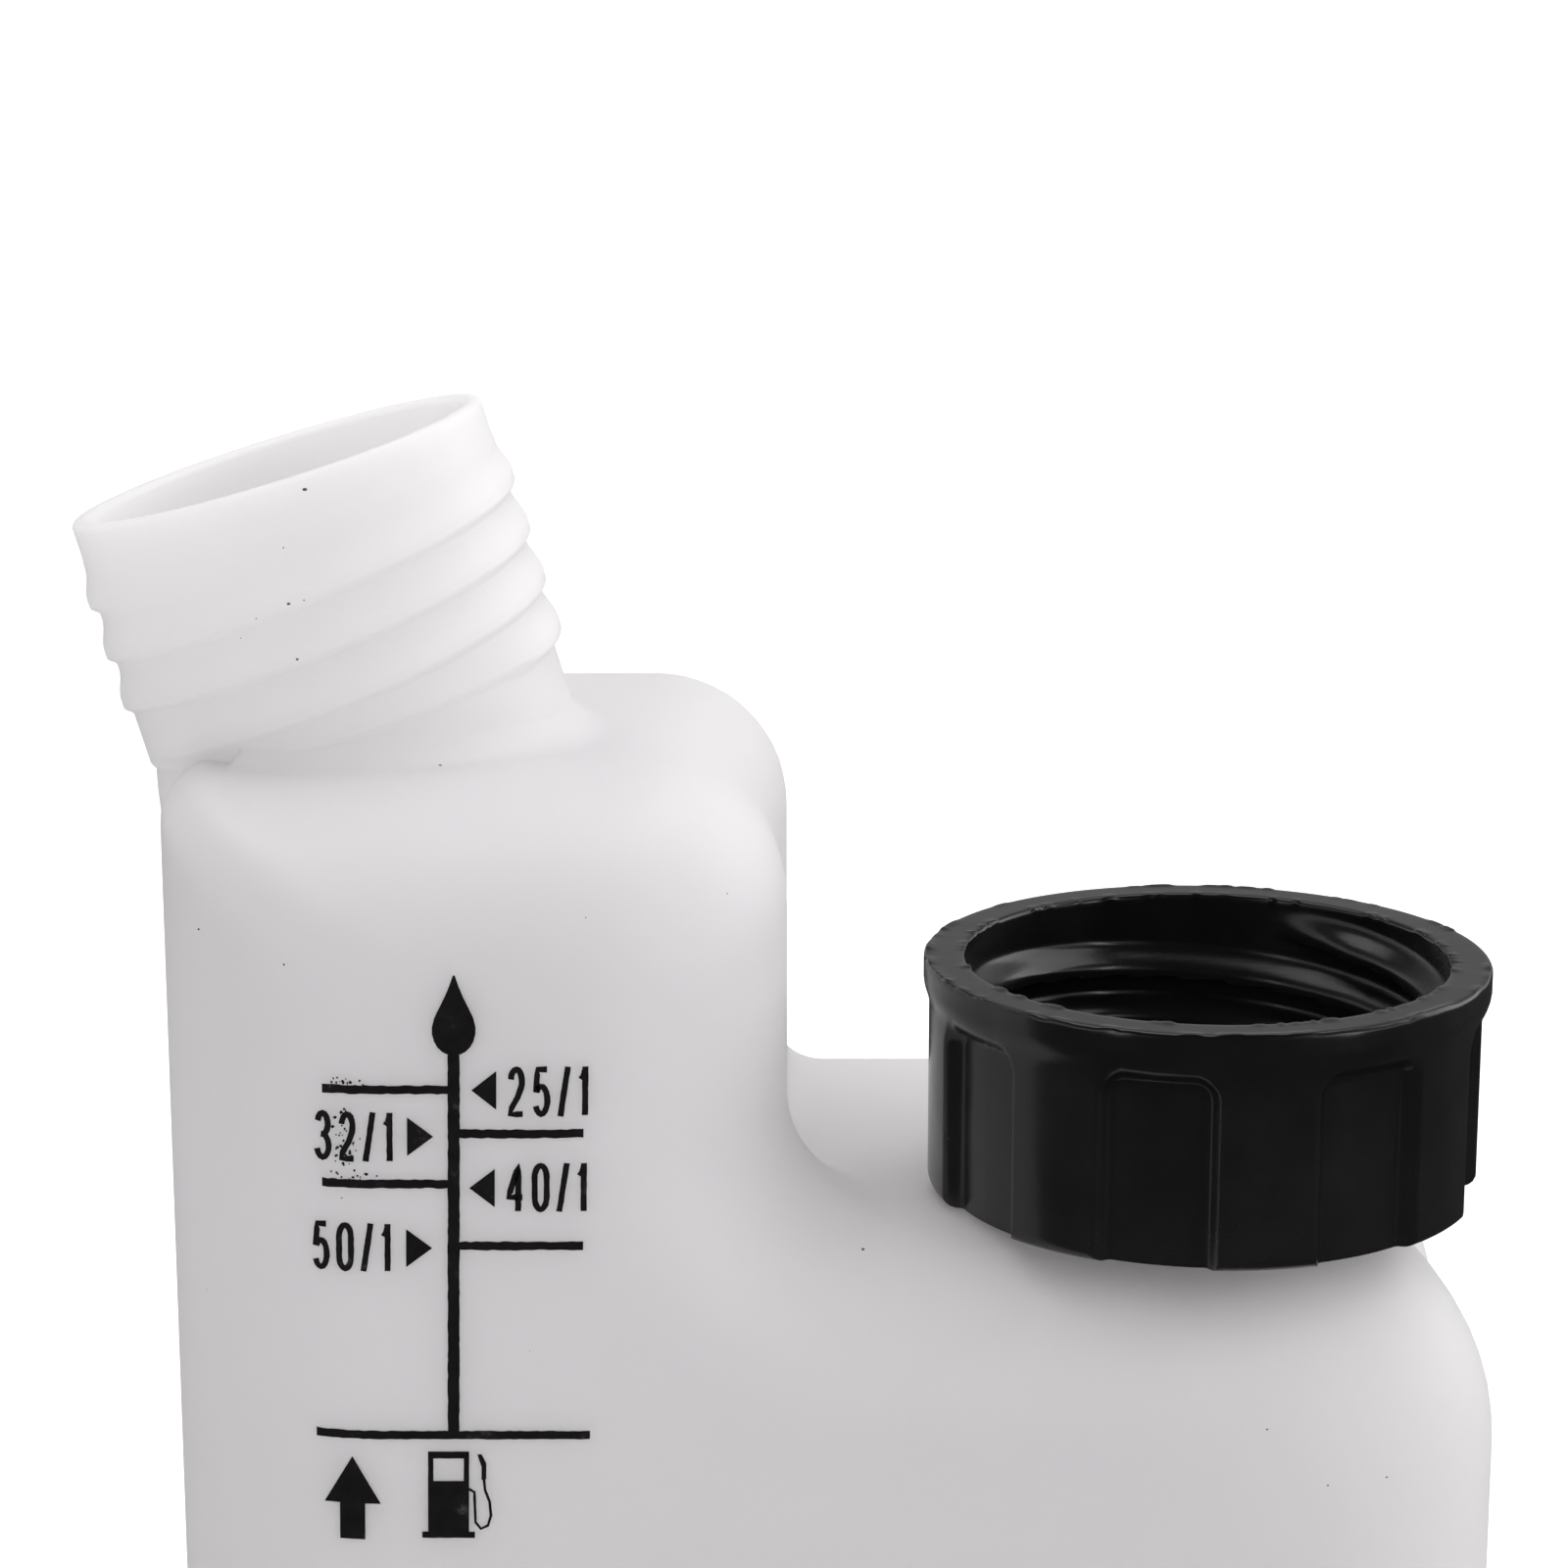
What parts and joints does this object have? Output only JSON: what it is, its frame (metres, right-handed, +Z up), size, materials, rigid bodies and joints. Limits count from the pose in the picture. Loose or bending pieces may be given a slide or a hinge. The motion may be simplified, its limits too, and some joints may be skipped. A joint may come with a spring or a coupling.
{
  "type": "fuel mixing bottle",
  "caption": "Stepped translucent bottle for mixing two-stroke fuel, with a tilted threaded neck, and its grip cap taken off and stood upside down on the shoulder.",
  "frame": {"origin": "under the middle of the whole object, at the height that the bottle stands on", "axes": "+Z up, +Y from the printed front towards the back, +X from the neck towards the shoulder"},
  "size_m": [0.1264, 0.078, 0.2081],
  "materials": {
    "bottle_plastic": "translucent natural polyethylene, satin as blown",
    "cap_plastic": "black injection-moulded, semi-gloss",
    "seal_rubber": "matt black sealing disc"
  },
  "bodies": {
    "root": {"bottle": "bottle_plastic", "cap": "cap_plastic", "cap_seal": "seal_rubber"}
  },
  "joints": []
}
